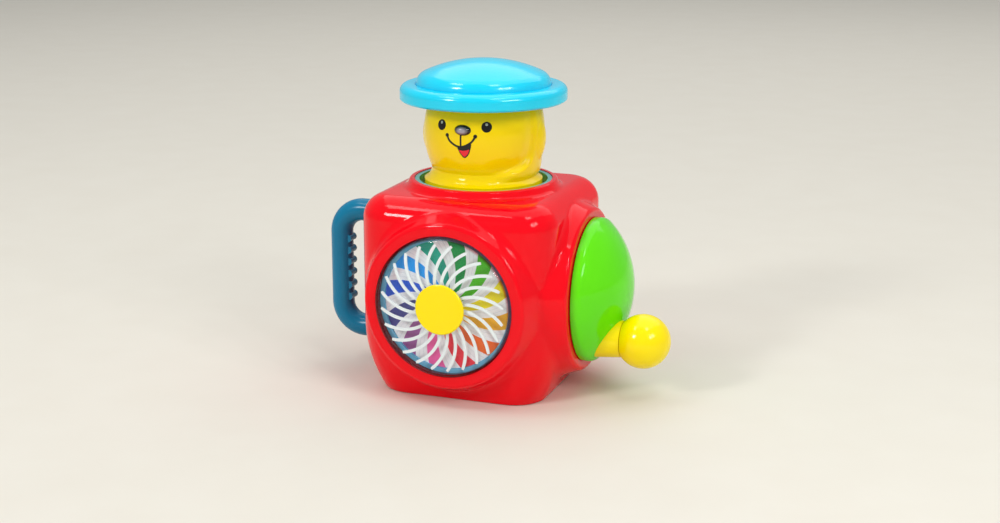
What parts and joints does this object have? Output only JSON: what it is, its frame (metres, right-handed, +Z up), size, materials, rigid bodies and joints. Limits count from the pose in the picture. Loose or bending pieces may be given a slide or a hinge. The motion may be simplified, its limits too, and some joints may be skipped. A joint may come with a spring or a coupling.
{
  "type": "jack in the box toy",
  "caption": "Jack in the box toy: rounded box with a carrying handle, domed crank with ball knob, swirl window over a turning rainbow wheel, and a spring loaded bear in a flat hat that pops up.",
  "frame": {"origin": "middle of the flat base on the surface that the toy stands on", "axes": "+Z up, the window faces -Y, the crank is on +X and the carrying handle on -X"},
  "size_m": [0.2082, 0.1258, 0.1836],
  "materials": {
    "red_housing": "glossy injection moulded ABS, red",
    "red_base": "satin ABS, red",
    "clear_lens": "clear polystyrene, polished",
    "white_swirl": "glossy ABS, white",
    "yellow_trim": "glossy ABS, yellow",
    "yellow_figure": "glossy moulded polypropylene, yellow",
    "blue_hat": "glossy moulded polypropylene, sky blue",
    "blue_handle": "glossy ABS, blue",
    "aqua_sleeve": "glossy ABS, pale blue",
    "rainbow_print": "printed card disc with a rainbow of wedges and white bands",
    "green_dome": "glossy ABS, lime green",
    "white_gears": "natural white acetal",
    "grey_frame": "grey ABS",
    "steel": "zinc plated steel",
    "brass": "turned brass"
  },
  "bodies": {
    "housing": {"body_shell": "red_housing", "base_plate": "red_base", "base_screws": "steel", "floor_screws": "steel", "guide_sleeve": "aqua_sleeve", "sleeve_screws": "steel", "window_lens": "clear_lens", "swirl_grille": "white_swirl", "hub_cap": "yellow_trim", "window_cup": "red_housing", "cup_screws": "steel", "carry_handle": "blue_handle", "handle_screws": "steel", "crank_bush": "white_gears", "music_frame": "grey_frame", "music_comb": "steel", "comb_screws": "steel", "latch_bracket": "grey_frame", "latch_pin": "steel", "pop_spring": "steel"},
    "figure": {"figure_front": "yellow_figure", "figure_back": "yellow_figure", "figure_base": "yellow_figure", "figure_screws": "steel", "hat": "blue_hat", "hat_base": "blue_hat", "hat_screws": "steel"},
    "crank": {"crank_disc": "green_dome", "crank_pin": "steel", "crank_shaft": "steel", "crown_gear": "white_gears", "crank_pinion": "white_gears", "knob_stem": "yellow_trim", "knob_pin": "steel"},
    "knob": {"knob": "yellow_trim"},
    "spinner": {"spinner_wheel": "aqua_sleeve", "rainbow_disc": "rainbow_print", "spinner_shaft": "steel", "spinner_gear": "white_gears"},
    "drum": {"music_drum": "brass", "drum_shaft": "steel", "drum_gear": "white_gears", "trip_cam": "white_gears"},
    "latch": {"latch_lever": "white_gears"}
  },
  "joints": [
    {"name": "crank_turn", "type": "hinge", "parent": "housing", "child": "crank", "pos_m": [0.064, 0, 0.0575], "axis": [1, 0, 0], "continuous": true},
    {"name": "knob_spin", "type": "hinge", "parent": "crank", "child": "knob", "pos_m": [0.098, -0.01082, 0.03353], "axis": [1, 0, 0], "continuous": true},
    {"name": "spinner_spin", "type": "hinge", "parent": "housing", "child": "spinner", "pos_m": [0, -0.045, 0.0575], "axis": [0, 1, 0], "continuous": true},
    {"name": "drum_spin", "type": "hinge", "parent": "housing", "child": "drum", "pos_m": [0.02, 0.024, 0.0395], "axis": [1, 0, 0], "continuous": true},
    {"name": "bear_pop", "type": "slide", "parent": "housing", "child": "figure", "axis": [0, 0, 1], "range_m": [-0.043, 0], "stiffness_N_per_m": 60, "springref_m": 0.03, "deforming": ["pop_spring"]},
    {"name": "latch_swing", "type": "hinge", "parent": "housing", "child": "latch", "pos_m": [-0.037, 0.024, 0.047], "axis": [0, 1, 0], "range_deg": [0, 6.3]}
  ],
  "couplings": [
    {"joint": "spinner_spin", "follows": "crank_turn", "ratio": 1},
    {"joint": "drum_spin", "follows": "crank_turn", "ratio": -0.2}
  ]
}
